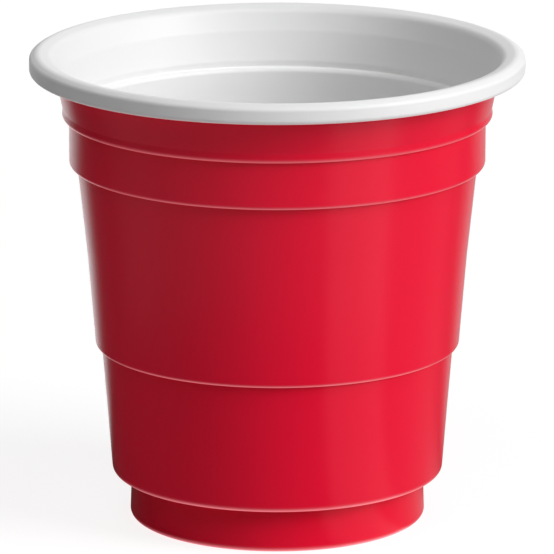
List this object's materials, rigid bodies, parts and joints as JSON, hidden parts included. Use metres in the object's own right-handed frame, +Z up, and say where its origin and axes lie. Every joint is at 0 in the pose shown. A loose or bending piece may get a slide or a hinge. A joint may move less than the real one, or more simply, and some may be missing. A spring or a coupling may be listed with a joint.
{
  "type": "plastic shot cup",
  "caption": "Small thin-walled plastic shot cup, red outside and white inside, with nesting steps, a recessed foot and a rolled rim.",
  "frame": {"origin": "centre of the standing ring, on the surface that the cup stands on", "axes": "+Z up, along the cup's axis of revolution; X and Y are level, and alike because the cup is round"},
  "size_m": [0.0571, 0.057, 0.055],
  "materials": {
    "two_colour_polystyrene": "smooth gloss; one sheet with a red outer skin and a white inner skin, so the rolled rim is white too"
  },
  "bodies": {
    "root": {"cup": "two_colour_polystyrene"}
  },
  "joints": []
}
